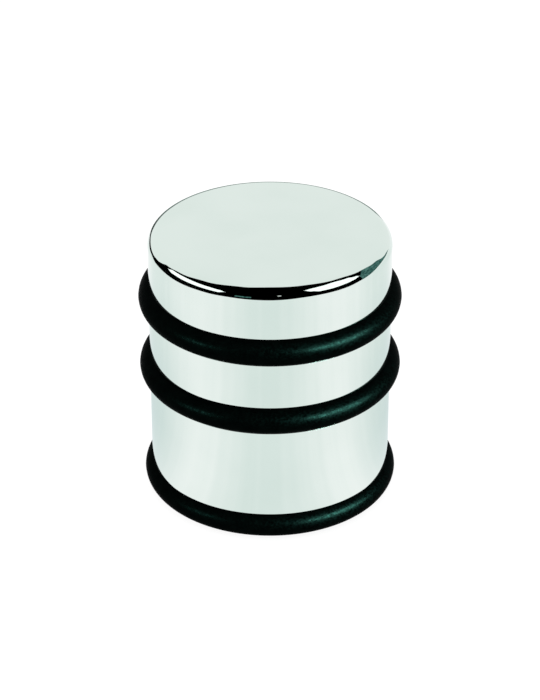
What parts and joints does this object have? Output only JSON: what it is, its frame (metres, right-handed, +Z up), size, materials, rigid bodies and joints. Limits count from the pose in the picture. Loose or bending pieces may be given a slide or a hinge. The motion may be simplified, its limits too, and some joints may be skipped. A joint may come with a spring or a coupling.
{
  "type": "weighted floor door holder",
  "caption": "Free-standing weighted cylinder with rubber bumper rings that holds a door open by its own weight, on a non-slip rubber foot.",
  "frame": {"origin": "on the floor, under the centre of the foot pad", "axes": "+Z up along the body's axis; X and Y are free, because the outside is turned about +Z"},
  "size_m": [0.0706, 0.0706, 0.075],
  "materials": {
    "polished_chrome": "mirror-polished chrome plate",
    "ring_rubber": "moulded black rubber, half gloss",
    "pad_rubber": "matt black rubber",
    "adhesive_film": "double-sided adhesive film",
    "zinc_plated_steel": "bright zinc plate",
    "mill_steel": "dark mill finish, oiled",
    "packing_board": "grey-brown wound paperboard",
    "foam": "black closed-cell foam"
  },
  "bodies": {
    "root": {"shell": "polished_chrome", "upper_ring": "ring_rubber", "middle_ring": "ring_rubber", "foot_ring": "ring_rubber", "foot_pad": "pad_rubber", "pad_adhesive": "adhesive_film", "base_plate": "zinc_plated_steel", "weight": "mill_steel", "weight_sleeve": "packing_board", "roof_cushion": "foam", "weld_stud": "zinc_plated_steel", "plain_washer": "zinc_plated_steel", "spring_washer": "zinc_plated_steel", "hex_nut": "zinc_plated_steel"}
  },
  "joints": []
}
